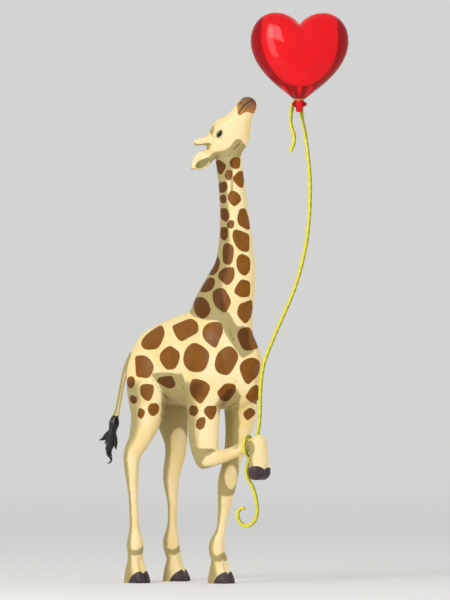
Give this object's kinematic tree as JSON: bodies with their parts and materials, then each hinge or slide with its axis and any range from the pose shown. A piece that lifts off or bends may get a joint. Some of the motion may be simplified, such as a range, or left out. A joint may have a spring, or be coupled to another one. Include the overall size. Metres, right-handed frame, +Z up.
{
  "type": "giraffe garden figure with heart balloon",
  "caption": "Cast figure of a spotted giraffe looking up, standing on three hooves, its raised foreleg holding a heart-shaped balloon by a twisted string.",
  "frame": {"origin": "middle of the whole work's outline on the floor, at the level of the soles", "axes": "+Z up, +X the way the giraffe's body faces; the raised foreleg is on the -Y side"},
  "size_m": [0.5401, 0.2023, 1.1763],
  "materials": {
    "giraffe": "satin",
    "balloon": "gloss",
    "balloon_string": "satin",
    "balloon_tie": "satin"
  },
  "bodies": {
    "root": {"giraffe": "giraffe", "balloon": "balloon", "balloon_string": "balloon_string", "balloon_tie": "balloon_tie"}
  },
  "joints": []
}
